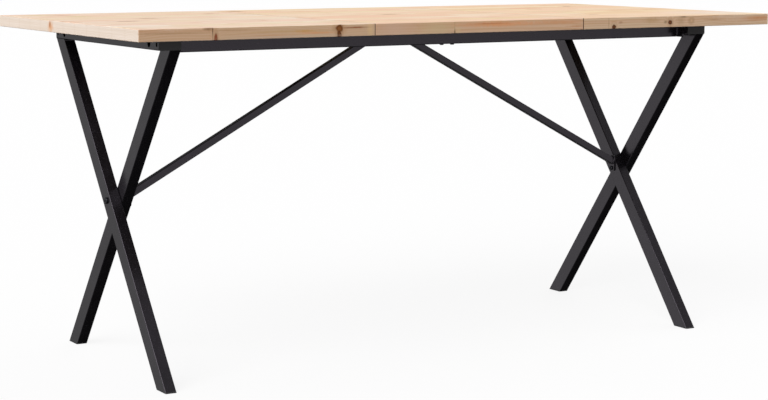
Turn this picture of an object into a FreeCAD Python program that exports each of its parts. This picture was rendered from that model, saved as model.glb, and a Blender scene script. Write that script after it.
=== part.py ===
import FreeCAD, Part
import math
import os

# Sawbuck dining table: three pine panels on a steel under-frame with an X of two tubes at each end.
# Millimetres. X runs along the length, the front is at -Y, Z is up, the origin is on the floor at the middle.
# The under-frame looks the same after half a turn about Z: each piece is made once and turned for its twin.

# ---- top ----
TABLE_LENGTH = 1600.0
TABLE_WIDTH = 800.0
TABLE_HEIGHT = 755.0
TOP_THICKNESS = 25.0
PANEL_NAMES = ("left", "centre", "right")
PANEL_GAP = 0.3
PANEL_CHAMFER = 0.8

DOWEL_RADIUS = 4.0
DOWEL_LENGTH = 40.0
DOWEL_COUNT = 4
DOWEL_EDGE_INSET = 100.0

SEAM_PLATE_LENGTH = 100.0
SEAM_PLATE_WIDTH = 30.0
SEAM_PLATE_THICKNESS = 2.0
SEAM_PLATE_EDGE_INSET = 70.0
SEAM_SCREW_OFFSETS = (-40.0, -15.0, 15.0, 40.0)

# ---- steel tube common to legs, crossbars and rails ----
TUBE_WALL = 1.5
TUBE_CORNER = 2.0

# ---- end frames ----
END_OVERHANG = 94.0
CROSSBAR_LENGTH = 570.0
CROSSBAR_HEIGHT = 25.0
LEG_WIDTH = 38.0
LEG_DEPTH = 25.0
FOOT_SPREAD = 602.0
LEG_TOP_INSET = 1.0
FOOT_CAP_THICKNESS = 3.0
CAP_FLANGE = 1.5
PLUG_DEPTH = 12.0
WELD_LEG = 4.0
WELD_END_INSET = 1.0
CROSS_BOLT_RISE = 2.5
HANGING_HOLE_RADIUS = 5.0
HANGING_HOLE_INSET = 10.0

# ---- long rails ----
RAIL_SPACING = 471.0
RAIL_WIDTH = 25.0
RAIL_HEIGHT = 32.0
RAIL_END_PLATE = 3.0
RAIL_END_PLATE_WIDTH = 65.0
RAIL_END_PLATE_CORNER = 3.0
RAIL_BOLT_DROP = 12.5
ACCESS_HOLE_RADIUS = 7.5
RAIL_JOINT_OFFSET = 13.75
SLEEVE_LENGTH = 50.0
SLEEVE_WALL = 2.0
SLEEVE_CORNER = 2.5
SLEEVE_SCREW_PITCH = 27.5

# ---- centre member between the rails ----
MEMBER_WIDTH = 50.0
MEMBER_HEIGHT = 25.0
MEMBER_PLATE_LENGTH = 116.0
MEMBER_PLATE_THICKNESS = 3.0
MEMBER_BOLT_SPACING = 96.0

# ---- diagonal braces in the middle plane ----
BRACE_SIZE = 16.0
BRACE_WALL = 1.2
BRACE_CORNER = 1.5
BRACE_FOOT_RISE = 13.0
BRACE_HEAD_X = 46.0
FOOT_PLATE_WIDTH = 22.0
FOOT_PLATE_THICKNESS = 3.0
FOOT_PLATE_BELOW = 12.5
FOOT_PLATE_ABOVE = 26.0
FOOT_PLATE_CORNER = 5.0
FOOT_BOLT_DROP = 5.5
HEAD_PLATE_THICKNESS = 4.0
HEAD_PLATE_WIDTH = 40.0
HEAD_PLATE_INNER_X = 0.5
HEAD_PLATE_OUTER_X = 68.0
HEAD_BOLT_X = 13.0
HEAD_BOLT_SPACING = 24.0

# ---- wood screws that hold the top ----
TOP_SCREW_REACH = 18.0
TOP_SCREW_SEAM_INSET = 100.0
TOP_SCREW_RAIL_END_INSET = 60.0
TOP_SCREW_CROSSBAR_OFFSET = 100.0
TOP_SCREW_ACCESS_RADIUS = 6.0

# ---- clearances ----
HOLE_CLEARANCE = 0.3
PLUG_CLEARANCE = 0.3
PILOT_END_CLEARANCE = 1.0
BOLT_END_PROJECTION = 2.0


class Fastener:
    """Sizes of one screw or bolt with its nut and washer."""

    def __init__(self, shank, head, head_height, socket, nut=(0.0, 0.0), washer=(0.0, 0.0)):
        self.shank_radius = shank / 2
        self.head_radius = head / 2
        self.head_height = head_height
        self.socket_flats = socket
        self.nut_flats, self.nut_height = nut
        self.washer_radius = washer[0] / 2
        self.washer_height = washer[1]
        self.hole_radius = self.shank_radius + HOLE_CLEARANCE


M8 = Fastener(shank=8.0, head=14.0, head_height=4.4, socket=5.0, nut=(13.0, 6.5), washer=(16.0, 1.6))
M6 = Fastener(shank=6.0, head=10.5, head_height=3.3, socket=4.0, nut=(10.0, 5.0))
M5 = Fastener(shank=5.0, head=9.0, head_height=2.6, socket=3.0, nut=(8.0, 4.0))
TOP_SCREW = Fastener(shank=5.0, head=9.0, head_height=3.0, socket=3.0)
SEAM_SCREW = Fastener(shank=4.0, head=8.0, head_height=2.2, socket=2.5)
SEAM_SCREW_REACH = 14.0
HEAD_ROUNDING = 0.45
SOCKET_DEPTH = 0.55

X = FreeCAD.Vector(1, 0, 0)
Y = FreeCAD.Vector(0, 1, 0)
Z = FreeCAD.Vector(0, 0, 1)
ORIGIN = FreeCAD.Vector(0, 0, 0)

# ---- levels and lines that follow from the sizes ----
UNDERSIDE = TABLE_HEIGHT - TOP_THICKNESS
CROSSBAR_BOTTOM = UNDERSIDE - CROSSBAR_HEIGHT
CROSSBAR_WIDTH = 2 * LEG_DEPTH
FRAME_OUTER_X = TABLE_LENGTH / 2 - END_OVERHANG
FRAME_MIDDLE_X = FRAME_OUTER_X - LEG_DEPTH
FRAME_INNER_X = FRAME_OUTER_X - CROSSBAR_WIDTH
PANEL_PITCH = TABLE_LENGTH / len(PANEL_NAMES)
RAIL_Y = RAIL_SPACING / 2
RAIL_BOTTOM = UNDERSIDE - RAIL_HEIGHT
RAIL_BOLT_Z = UNDERSIDE - RAIL_BOLT_DROP
RAIL_TUBE_END_X = FRAME_INNER_X - RAIL_END_PLATE
RAIL_INNER_FACE_Y = RAIL_Y - RAIL_WIDTH / 2
MEMBER_BOTTOM = UNDERSIDE - MEMBER_HEIGHT
HEAD_PLATE_BOTTOM = MEMBER_BOTTOM - HEAD_PLATE_THICKNESS


def box(x_range, y_range, z_range):
    """Return a block between the given pairs of coordinates."""
    low = [min(pair) for pair in (x_range, y_range, z_range)]
    size = [max(pair) - min(pair) for pair in (x_range, y_range, z_range)]
    return Part.makeBox(*size, FreeCAD.Vector(*low))


def plate_across_x(x_range, y_range, z_range, corner):
    """Return a flat plate that faces along X, with its four corners rounded."""
    plate = box(x_range, y_range, z_range)
    thickness = abs(x_range[1] - x_range[0])
    corners = [edge for edge in plate.Edges if abs(edge.BoundBox.XLength - thickness) < 0.01 * thickness]
    return plate.makeFillet(corner, corners)


def cylinder(base, axis, radius, length):
    """Return a round bar that starts at base and runs along axis."""
    return Part.makeCylinder(radius, length, base, axis)


def turned(shape):
    """Return the shape's twin, half a turn about the table's vertical axis."""
    twin = shape.copy()
    twin.rotate(ORIGIN, Z, 180)
    return twin


def placed(shape, base, axis):
    """Return the shape with its own origin at base and its own +Z along axis."""
    copy = shape.copy()
    copy.Placement = FreeCAD.Placement(base, FreeCAD.Rotation(Z, axis)).multiply(copy.Placement)
    return copy


def rounded_face(size_x, size_y, radius):
    """Return a flat rectangle with round corners, centred on the origin in the XY plane."""
    edges = []
    half_x, half_y = size_x / 2 - radius, size_y / 2 - radius
    corners = ((half_x, half_y, 0), (-half_x, half_y, 90), (-half_x, -half_y, 180), (half_x, -half_y, 270))
    arcs = []
    for centre_x, centre_y, start in corners:
        points = []
        for turn in (0, 45, 90):
            angle = math.radians(start + turn)
            offset = FreeCAD.Vector(radius * math.cos(angle), radius * math.sin(angle), 0)
            points.append(FreeCAD.Vector(centre_x, centre_y, 0) + offset)
        arcs.append(points)
    for index, points in enumerate(arcs):
        following = arcs[(index + 1) % len(arcs)]
        edges.append(Part.Arc(*points).toShape())
        edges.append(Part.LineSegment(points[-1], following[0]).toShape())
    return Part.Face(Part.Wire(edges))


def section_bar(size_x, size_y, radius, base, run):
    """Return a bar with a level rounded section at base, drawn out along run."""
    face = rounded_face(size_x, size_y, radius)
    face.translate(base)
    return face.extrude(run)


def section_tube(size_x, size_y, wall_x, wall_y, radius, base, run):
    """Return a hollow bar with a level rounded section at base, drawn out along run."""
    outer = section_bar(size_x, size_y, radius, base, run)
    inner = section_bar(size_x - 2 * wall_x, size_y - 2 * wall_y, radius - min(wall_x, wall_y), base, run)
    return outer.cut(inner)


def straight_tube(size_a, size_b, wall, radius, length):
    """Return an upright tube that stands on the origin."""
    return section_tube(size_a, size_b, wall, wall, radius, ORIGIN, Z * length)


def tube_along_x(width, height, wall, radius, x_start, x_end, y, z):
    """Return a level tube between two X positions, width along Y and height along Z."""
    tube = straight_tube(height, width, wall, radius, abs(x_end - x_start))
    tube.rotate(ORIGIN, Y, 90)
    tube.translate(FreeCAD.Vector(min(x_start, x_end), y, z))
    return tube


def tube_along_y(width, height, wall, radius, y_start, y_end, x, z):
    """Return a level tube between two Y positions, width along X and height along Z."""
    tube = straight_tube(width, height, wall, radius, abs(y_end - y_start))
    tube.rotate(ORIGIN, X, -90)
    tube.translate(FreeCAD.Vector(x, min(y_start, y_end), z))
    return tube


def hexagon_bar(flats, height):
    """Return a hexagonal bar that stands on the origin."""
    reach = flats / 2 / math.cos(math.radians(30))
    points = []
    for step in range(7):
        angle = math.radians(60 * step)
        points.append(FreeCAD.Vector(reach * math.cos(angle), reach * math.sin(angle), 0))
    return Part.Face(Part.makePolygon(points)).extrude(Z * height)


def bolt(kind, length, base, direction):
    """Return a button-head fastener whose head seats at base and whose shank runs along direction."""
    head = cylinder(ORIGIN, Z, kind.head_radius, kind.head_height)
    rim = [edge for edge in head.Edges if edge.Closed and edge.BoundBox.ZMin > kind.head_height / 2]
    head = head.makeFillet(kind.head_height * HEAD_ROUNDING, rim)
    depth = kind.head_height * SOCKET_DEPTH
    socket = hexagon_bar(kind.socket_flats, depth)
    socket.translate(Z * (kind.head_height - depth))
    shank = cylinder(ORIGIN, -Z, kind.shank_radius, length)
    return placed(head.cut(socket).fuse(shank).removeSplitter(), base, -direction)


def nut(kind, base, direction):
    """Return a hexagonal nut that starts at base and reaches along direction."""
    blank = hexagon_bar(kind.nut_flats, kind.nut_height)
    return placed(blank.cut(cylinder(ORIGIN, Z, kind.hole_radius, kind.nut_height)), base, direction)


def washer(kind, base, direction):
    """Return a flat washer that starts at base and reaches along direction."""
    blank = cylinder(ORIGIN, Z, kind.washer_radius, kind.washer_height)
    return placed(blank.cut(cylinder(ORIGIN, Z, kind.hole_radius, kind.washer_height)), base, direction)


def drilled(shape, holes):
    """Return the shape without the material of every hole."""
    return shape.cut(Part.makeCompound(holes)) if holes else shape


def leg_lean():
    """Return the leg's lean as Y travel per Z travel, and its level width along Y.

    The outer corners at floor and top are fixed: level width plus lean times height is their mean spread.
    """
    spread = (FOOT_SPREAD + CROSSBAR_LENGTH) / 2 - LEG_TOP_INSET
    reach = math.sqrt(spread ** 2 + CROSSBAR_BOTTOM ** 2 - LEG_WIDTH ** 2)
    lean = (spread * CROSSBAR_BOTTOM - LEG_WIDTH * reach) / (CROSSBAR_BOTTOM ** 2 - LEG_WIDTH ** 2)
    return lean, LEG_WIDTH * math.sqrt(1 + lean ** 2)


LEAN, LEG_LEVEL_WIDTH = leg_lean()
FOOT_Y = (FOOT_SPREAD - LEG_LEVEL_WIDTH) / 2
CROSSING_Z = FOOT_Y / LEAN
LEVEL_WALL = TUBE_WALL * LEG_LEVEL_WIDTH / LEG_WIDTH
CROSS_BOLT_Z = CROSSING_Z + CROSS_BOLT_RISE
FOOT_BOLT_Z = CROSSING_Z - FOOT_BOLT_DROP
BRACE_FOOT_X = FRAME_INNER_X - FOOT_PLATE_THICKNESS
BRACE_FOOT_Z = CROSSING_Z + BRACE_FOOT_RISE
RAIL_BOLT_Y = (-RAIL_Y, RAIL_Y)


def panel_centre_x(index):
    """Return the X of a panel's middle."""
    return (index - (len(PANEL_NAMES) - 1) / 2) * PANEL_PITCH


def seam_positions():
    """Return the X of each seam by the name of its side."""
    return {"left": -PANEL_PITCH / 2, "right": PANEL_PITCH / 2}


def dowel_rows():
    """Return the Y of every dowel in a seam."""
    first = DOWEL_EDGE_INSET - TABLE_WIDTH / 2
    pitch = -2 * first / (DOWEL_COUNT - 1)
    return [first + step * pitch for step in range(DOWEL_COUNT)]


def seam_plate_rows():
    """Return the Y of each plate under a seam by the name of its place."""
    outer = TABLE_WIDTH / 2 - SEAM_PLATE_EDGE_INSET
    return {"front": -outer, "middle": 0.0, "back": outer}


def top_screw_positions():
    """Return the X and Y of every wood screw that holds the top."""
    seam = PANEL_PITCH / 2
    near_end = FRAME_INNER_X - TOP_SCREW_RAIL_END_INSET
    along = (seam - TOP_SCREW_SEAM_INSET, seam + TOP_SCREW_SEAM_INSET, near_end)
    spots = [(side * x, y) for side in (-1, 1) for x in along for y in RAIL_BOLT_Y]
    for x in (-FRAME_MIDDLE_X, FRAME_MIDDLE_X):
        spots += [(x, side * TOP_SCREW_CROSSBAR_OFFSET) for side in (-1, 1)]
    return spots


def top_screw_holes():
    """Return the holes for the top screws: shank through the upper wall and the wood, access from below."""
    holes = []
    for x, y in top_screw_positions():
        seat = UNDERSIDE - TUBE_WALL
        reach = TUBE_WALL + TOP_SCREW_REACH + PILOT_END_CLEARANCE
        holes.append(cylinder(FreeCAD.Vector(x, y, seat), Z, TOP_SCREW.hole_radius, reach))
        low = UNDERSIDE - max(RAIL_HEIGHT, CROSSBAR_HEIGHT)
        room = seat - low - TUBE_WALL
        holes.append(cylinder(FreeCAD.Vector(x, y, low), Z, TOP_SCREW_ACCESS_RADIUS, room))
    return holes


def seam_screw_spots():
    """Return the X and Y of every seam plate screw."""
    spots = []
    for seam in seam_positions().values():
        for row in seam_plate_rows().values():
            spots += [(seam + offset, row) for offset in SEAM_SCREW_OFFSETS]
    return spots


def make_top(parts):
    """Make the three panels, the dowels between them, the seam plates and all wood screws."""
    panel_holes = []
    dowels = []
    for seam in seam_positions().values():
        for row in dowel_rows():
            middle = UNDERSIDE + TOP_THICKNESS / 2
            start = FreeCAD.Vector(seam - DOWEL_LENGTH / 2, row, middle)
            dowels.append(cylinder(start, X, DOWEL_RADIUS, DOWEL_LENGTH))
            hole_start = start - X * PILOT_END_CLEARANCE
            hole_length = DOWEL_LENGTH + 2 * PILOT_END_CLEARANCE
            panel_holes.append(cylinder(hole_start, X, DOWEL_RADIUS + HOLE_CLEARANCE, hole_length))
    plate_bottom = UNDERSIDE - SEAM_PLATE_THICKNESS
    seam_screws = []
    for x, y in seam_screw_spots():
        base = FreeCAD.Vector(x, y, plate_bottom)
        length = SEAM_PLATE_THICKNESS + SEAM_SCREW_REACH
        seam_screws.append(bolt(SEAM_SCREW, length, base, Z))
        panel_holes.append(cylinder(base, Z, SEAM_SCREW.hole_radius, length + PILOT_END_CLEARANCE))
    for side, seam in seam_positions().items():
        half = SEAM_PLATE_LENGTH / 2
        for place, row in seam_plate_rows().items():
            y_range = (row - SEAM_PLATE_WIDTH / 2, row + SEAM_PLATE_WIDTH / 2)
            plate = box((seam - half, seam + half), y_range, (plate_bottom, UNDERSIDE))
            parts["seam_plate_%s_%s" % (side, place)] = drilled(plate, panel_holes)
    panel_holes += top_screw_holes()
    for index, name in enumerate(PANEL_NAMES):
        start = panel_centre_x(index) - PANEL_PITCH / 2 + (PANEL_GAP / 2 if index > 0 else 0)
        last = index == len(PANEL_NAMES) - 1
        end = panel_centre_x(index) + PANEL_PITCH / 2 - (0 if last else PANEL_GAP / 2)
        panel = box((start, end), (-TABLE_WIDTH / 2, TABLE_WIDTH / 2), (UNDERSIDE, TABLE_HEIGHT))
        panel = panel.makeChamfer(PANEL_CHAMFER, panel.Edges)
        parts["panel_" + name] = drilled(panel, panel_holes)
    parts["panel_dowels"] = Part.makeCompound(dowels)
    parts["seam_plate_screws"] = Part.makeCompound(seam_screws)
    top_screws = []
    for x, y in top_screw_positions():
        base = FreeCAD.Vector(x, y, UNDERSIDE - TUBE_WALL)
        top_screws.append(bolt(TOP_SCREW, TUBE_WALL + TOP_SCREW_REACH, base, Z))
    parts["top_screws"] = Part.makeCompound(top_screws)


def leg_axis_point(direction, z):
    """Return the Y of a leg's middle line at height z; direction +1 rises to the back, -1 to the front."""
    return direction * (LEAN * z - FOOT_Y)


def leg_pieces(x_middle, direction):
    """Return a leg tube, its foot cap and the weld bead at its top."""
    foot = FreeCAD.Vector(x_middle, leg_axis_point(direction, FOOT_CAP_THICKNESS), FOOT_CAP_THICKNESS)
    head = FreeCAD.Vector(x_middle, leg_axis_point(direction, CROSSBAR_BOTTOM), CROSSBAR_BOTTOM)
    floor = FreeCAD.Vector(x_middle, leg_axis_point(direction, 0), 0)
    tube = section_tube(LEG_DEPTH, LEG_LEVEL_WIDTH, TUBE_WALL, LEVEL_WALL, TUBE_CORNER, foot, head - foot)
    sole = section_bar(LEG_DEPTH, LEG_LEVEL_WIDTH, TUBE_CORNER, floor, foot - floor)
    plug_top = leg_axis_point(direction, FOOT_CAP_THICKNESS + PLUG_DEPTH)
    plug_run = FreeCAD.Vector(0, plug_top - foot.y, PLUG_DEPTH)
    plug_x = LEG_DEPTH - 2 * (TUBE_WALL + PLUG_CLEARANCE)
    plug_y = LEG_LEVEL_WIDTH - 2 * (LEVEL_WALL + PLUG_CLEARANCE)
    plug = section_bar(plug_x, plug_y, TUBE_CORNER / 2, foot, plug_run)
    corner = head - Y * direction * LEG_LEVEL_WIDTH / 2
    along = corner - Y * direction * WELD_LEG
    down = corner - FreeCAD.Vector(0, direction * LEAN, 1) * WELD_LEG / math.sqrt(1 + LEAN * LEAN)
    shift = X * (WELD_END_INSET - LEG_DEPTH / 2)
    outline = Part.makePolygon([point + shift for point in (corner, along, down, corner)])
    bead = Part.Face(outline).extrude(X * (LEG_DEPTH - 2 * WELD_END_INSET))
    return tube, sole.fuse(plug).removeSplitter(), bead


def make_frame(parts):
    """Make the left end frame and turn a copy of every piece for the right one."""
    outer_x = -(FRAME_OUTER_X - LEG_DEPTH / 2)
    inner_x = -(FRAME_INNER_X + LEG_DEPTH / 2)
    outer_leg, outer_cap, outer_bead = leg_pieces(outer_x, 1)
    inner_leg, inner_cap, inner_bead = leg_pieces(inner_x, -1)

    # The legs are clamped where they cross: head outside, nut welded inside the inner leg.
    head_seat = FreeCAD.Vector(-FRAME_OUTER_X, 0, CROSS_BOLT_Z)
    nut_seat = FreeCAD.Vector(-FRAME_MIDDLE_X + TUBE_WALL, 0, CROSS_BOLT_Z)
    cross_length = LEG_DEPTH + TUBE_WALL + M8.nut_height + BOLT_END_PROJECTION
    cross_hole = cylinder(head_seat, X, M8.hole_radius, LEG_DEPTH + TUBE_WALL)
    foot_nut_seat = FreeCAD.Vector(-(FRAME_INNER_X + TUBE_WALL), 0, FOOT_BOLT_Z)
    foot_hole = cylinder(foot_nut_seat, X, M6.hole_radius, TUBE_WALL)

    half = CROSSBAR_LENGTH / 2 - CAP_FLANGE
    middle_z = UNDERSIDE - CROSSBAR_HEIGHT / 2
    size = (CROSSBAR_WIDTH, CROSSBAR_HEIGHT)
    crossbar = tube_along_y(*size, TUBE_WALL, TUBE_CORNER, -half, half, -FRAME_MIDDLE_X, middle_z)
    crossbar_holes = top_screw_holes()
    for y in RAIL_BOLT_Y:
        outside = FreeCAD.Vector(-FRAME_OUTER_X, y, RAIL_BOLT_Z)
        inside = FreeCAD.Vector(-(FRAME_INNER_X + TUBE_WALL), y, RAIL_BOLT_Z)
        crossbar_holes.append(cylinder(outside, X, ACCESS_HOLE_RADIUS, TUBE_WALL + TUBE_CORNER))
        crossbar_holes.append(cylinder(inside, X, M8.hole_radius, TUBE_WALL))
    # A hole near each end of the outer wall, by which the frame hangs in the coating oven.
    for side in (-1, 1):
        spot = FreeCAD.Vector(-FRAME_OUTER_X, side * (CROSSBAR_LENGTH / 2 - HANGING_HOLE_INSET), middle_z)
        crossbar_holes.append(cylinder(spot, X, HANGING_HOLE_RADIUS, TUBE_WALL))

    plug_size = [value - 2 * (TUBE_WALL + PLUG_CLEARANCE) for value in size]
    cap = section_bar(*size, TUBE_CORNER, ORIGIN, Z * CAP_FLANGE)
    cap = cap.fuse(section_bar(*plug_size, TUBE_CORNER / 2, Z * CAP_FLANGE, Z * PLUG_DEPTH)).removeSplitter()
    cap.rotate(ORIGIN, X, -90)
    cap.translate(FreeCAD.Vector(-FRAME_MIDDLE_X, -CROSSBAR_LENGTH / 2, middle_z))
    back_cap = cap.mirror(ORIGIN, Y)

    left = {
        "crossbar": drilled(crossbar, crossbar_holes),
        "crossbar_cap_front": cap,
        "crossbar_cap_back": back_cap,
        "leg_outer": drilled(outer_leg, [cross_hole]),
        "leg_inner": drilled(inner_leg, [cross_hole, foot_hole]),
        "foot_outer_cap": outer_cap,
        "foot_inner_cap": inner_cap,
        "frame_welds": Part.makeCompound([outer_bead, inner_bead]),
    }
    swapped = {"crossbar_cap_front": "crossbar_cap_back", "crossbar_cap_back": "crossbar_cap_front"}
    for name, shape in left.items():
        parts["left_" + name] = shape
        parts["right_" + swapped.get(name, name)] = turned(shape)
    groups = {"cross_bolts": bolt(M8, cross_length, head_seat, X), "cross_nuts": nut(M8, nut_seat, X)}
    for name, shape in groups.items():
        parts[name] = Part.makeCompound([shape, turned(shape)])


def make_rails(parts):
    """Make the front rail in two lengths with its sleeve and end plates, and turn it for the back rail."""
    middle_z = UNDERSIDE - RAIL_HEIGHT / 2
    holes = top_screw_holes()
    sleeve_screws, sleeve_nuts, sleeve_holes = [], [], []
    for side in (-1, 1):
        x = RAIL_JOINT_OFFSET + side * SLEEVE_SCREW_PITCH / 2
        base = FreeCAD.Vector(x, -RAIL_Y, RAIL_BOTTOM)
        grip = TUBE_WALL + PLUG_CLEARANCE + SLEEVE_WALL
        sleeve_holes.append(cylinder(base, Z, M5.hole_radius, grip))
        sleeve_screws.append(bolt(M5, grip + M5.nut_height + BOLT_END_PROJECTION / 2, base, Z))
        sleeve_nuts.append(nut(M5, base + Z * grip, Z))
        member_x = side * MEMBER_BOLT_SPACING / 2
        inner_wall = FreeCAD.Vector(member_x, -RAIL_INNER_FACE_Y, middle_z)
        holes.append(cylinder(inner_wall, -Y, M6.hole_radius, TUBE_WALL))
    rail = {}
    ends = {"left": (-RAIL_TUBE_END_X, RAIL_JOINT_OFFSET), "right": (RAIL_JOINT_OFFSET, RAIL_TUBE_END_X)}
    for side, (start, end) in ends.items():
        tube = tube_along_x(RAIL_WIDTH, RAIL_HEIGHT, TUBE_WALL, TUBE_CORNER, start, end, -RAIL_Y, middle_z)
        rail["rail_" + side] = drilled(tube, holes + sleeve_holes)
    gap = 2 * (TUBE_WALL + PLUG_CLEARANCE)
    half = SLEEVE_LENGTH / 2
    sleeve_ends = (RAIL_JOINT_OFFSET - half, RAIL_JOINT_OFFSET + half)
    sleeve_size = (RAIL_WIDTH - gap, RAIL_HEIGHT - gap)
    sleeve = tube_along_x(*sleeve_size, SLEEVE_WALL, SLEEVE_CORNER, *sleeve_ends, -RAIL_Y, middle_z)
    rail["rail_sleeve"] = drilled(sleeve, sleeve_holes)

    y_range = (-RAIL_Y - RAIL_END_PLATE_WIDTH / 2, -RAIL_Y + RAIL_END_PLATE_WIDTH / 2)
    bolts, washers, nuts = [], [], []
    for side, name in ((-1, "left"), (1, "right")):
        inward = X * -side
        x_range = (side * FRAME_INNER_X, side * RAIL_TUBE_END_X)
        plate = plate_across_x(x_range, y_range, (RAIL_BOTTOM, UNDERSIDE), RAIL_END_PLATE_CORNER)
        seat = FreeCAD.Vector(side * (FRAME_INNER_X + TUBE_WALL), -RAIL_Y, RAIL_BOLT_Z)
        head_seat = seat - inward * M8.washer_height
        stack = M8.washer_height + TUBE_WALL + RAIL_END_PLATE
        length = stack + M8.nut_height + BOLT_END_PROJECTION
        rail["rail_end_plate_" + name] = drilled(plate, [cylinder(head_seat, inward, M8.hole_radius, stack)])
        bolts.append(bolt(M8, length, head_seat, inward))
        washers.append(washer(M8, head_seat, inward))
        nuts.append(nut(M8, head_seat + inward * stack, inward))
    swap = {"left": "right", "right": "left"}
    for name, shape in rail.items():
        words = name.split("_")
        words[-1] = swap.get(words[-1], words[-1])
        parts["front_" + name] = shape
        parts["back_" + "_".join(words)] = turned(shape)
    groups = {"rail_bolts": bolts, "rail_washers": washers, "rail_end_nuts": nuts}
    groups.update({"rail_sleeve_screws": sleeve_screws, "rail_sleeve_nuts": sleeve_nuts})
    for name, shapes in groups.items():
        parts[name] = Part.makeCompound(shapes + [turned(shape) for shape in shapes])


def make_centre_member(parts):
    """Make the member between the rails with its end plates and their bolts."""
    middle_z = UNDERSIDE - MEMBER_HEIGHT / 2
    bolt_z = UNDERSIDE - RAIL_HEIGHT / 2
    tube_end = RAIL_INNER_FACE_Y - MEMBER_PLATE_THICKNESS
    size = (MEMBER_WIDTH, MEMBER_HEIGHT)
    member = tube_along_y(*size, TUBE_WALL, TUBE_CORNER, -tube_end, tube_end, 0, middle_z)
    head_holes = [cylinder(FreeCAD.Vector(x, y, MEMBER_BOTTOM), Z, M6.hole_radius, TUBE_WALL)
                  for x, y in head_bolt_spots(-1) + head_bolt_spots(1)]
    parts["centre_member"] = drilled(member, head_holes)
    x_range = (-MEMBER_PLATE_LENGTH / 2, MEMBER_PLATE_LENGTH / 2)
    plate = box(x_range, (-RAIL_INNER_FACE_Y, -tube_end), (RAIL_BOTTOM, UNDERSIDE))
    bolts, nuts, holes = [], [], []
    for side in (-1, 1):
        seat = FreeCAD.Vector(side * MEMBER_BOLT_SPACING / 2, -tube_end, bolt_z)
        stack = MEMBER_PLATE_THICKNESS + TUBE_WALL
        holes.append(cylinder(seat, -Y, M6.hole_radius, stack))
        bolts.append(bolt(M6, stack + M6.nut_height + BOLT_END_PROJECTION, seat, -Y))
        nuts.append(nut(M6, seat - Y * stack, -Y))
    plate = drilled(plate, holes)
    parts["centre_member_plate_front"] = plate
    parts["centre_member_plate_back"] = turned(plate)
    parts["centre_member_bolts"] = Part.makeCompound(bolts + [turned(shape) for shape in bolts])
    parts["centre_member_nuts"] = Part.makeCompound(nuts + [turned(shape) for shape in nuts])


def head_bolt_spots(side):
    """Return the X and Y of the bolts at one brace's upper end; side -1 is the left brace."""
    return [(side * HEAD_BOLT_X, row * HEAD_BOLT_SPACING / 2) for row in (-1, 1)]


def make_braces(parts):
    """Make the left brace with its two plates and fasteners, and turn it for the right one."""
    foot = FreeCAD.Vector(-BRACE_FOOT_X, 0, BRACE_FOOT_Z)
    head = FreeCAD.Vector(-BRACE_HEAD_X, 0, HEAD_PLATE_BOTTOM)
    run = head - foot
    spare = run * (2 * BRACE_SIZE / run.Length)
    tube = straight_tube(BRACE_SIZE, BRACE_SIZE, BRACE_WALL, BRACE_CORNER, (run + spare * 2).Length)
    tube.rotate(ORIGIN, Y, math.degrees(math.atan2(run.x, run.z)))
    tube.translate(foot - spare)
    keep = box((-BRACE_FOOT_X, 0), (-BRACE_SIZE, BRACE_SIZE), (CROSSING_Z - BRACE_SIZE, HEAD_PLATE_BOTTOM))
    brace = tube.common(keep)

    y_range = (-FOOT_PLATE_WIDTH / 2, FOOT_PLATE_WIDTH / 2)
    z_range = (CROSSING_Z - FOOT_PLATE_BELOW, CROSSING_Z + FOOT_PLATE_ABOVE)
    foot_plate = plate_across_x((-FRAME_INNER_X, -BRACE_FOOT_X), y_range, z_range, FOOT_PLATE_CORNER)
    foot_seat = FreeCAD.Vector(-BRACE_FOOT_X, 0, FOOT_BOLT_Z)
    foot_stack = FOOT_PLATE_THICKNESS + TUBE_WALL
    foot_plate = drilled(foot_plate, [cylinder(foot_seat, -X, M6.hole_radius, foot_stack)])

    x_range = (-HEAD_PLATE_OUTER_X, -HEAD_PLATE_INNER_X)
    y_range = (-HEAD_PLATE_WIDTH / 2, HEAD_PLATE_WIDTH / 2)
    head_plate = box(x_range, y_range, (HEAD_PLATE_BOTTOM, MEMBER_BOTTOM))
    head_stack = HEAD_PLATE_THICKNESS + TUBE_WALL
    seats = [FreeCAD.Vector(x, y, HEAD_PLATE_BOTTOM) for x, y in head_bolt_spots(-1)]
    head_plate = drilled(head_plate, [cylinder(seat, Z, M6.hole_radius, head_stack) for seat in seats])
    end = M6.nut_height + BOLT_END_PROJECTION

    left = {"brace": brace, "brace_foot_plate": foot_plate, "brace_head_plate": head_plate}
    for name, shape in left.items():
        parts["left_" + name] = shape
        parts["right_" + name] = turned(shape)
    groups = {
        "brace_foot_bolts": [bolt(M6, foot_stack + end, foot_seat, -X)],
        "brace_foot_nuts": [nut(M6, foot_seat - X * foot_stack, -X)],
        "brace_head_bolts": [bolt(M6, head_stack + end, seat, Z) for seat in seats],
        "brace_head_nuts": [nut(M6, seat + Z * head_stack, Z) for seat in seats],
    }
    for name, shapes in groups.items():
        parts[name] = Part.makeCompound(shapes + [turned(shape) for shape in shapes])


def main():
    """Build every piece and write one STEP file for each."""
    parts = {}
    make_top(parts)
    make_frame(parts)
    make_rails(parts)
    make_centre_member(parts)
    make_braces(parts)
    os.makedirs("parts", exist_ok=True)
    for name, shape in sorted(parts.items()):
        if not shape.isValid() or not shape.Solids:
            raise ValueError("bad shape: " + name)
        shape.exportStep("parts/%s.step" % name)


main()
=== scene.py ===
import logging
import math
from dataclasses import dataclass, field
from enum import Enum
from typing import Sequence, Union

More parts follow.
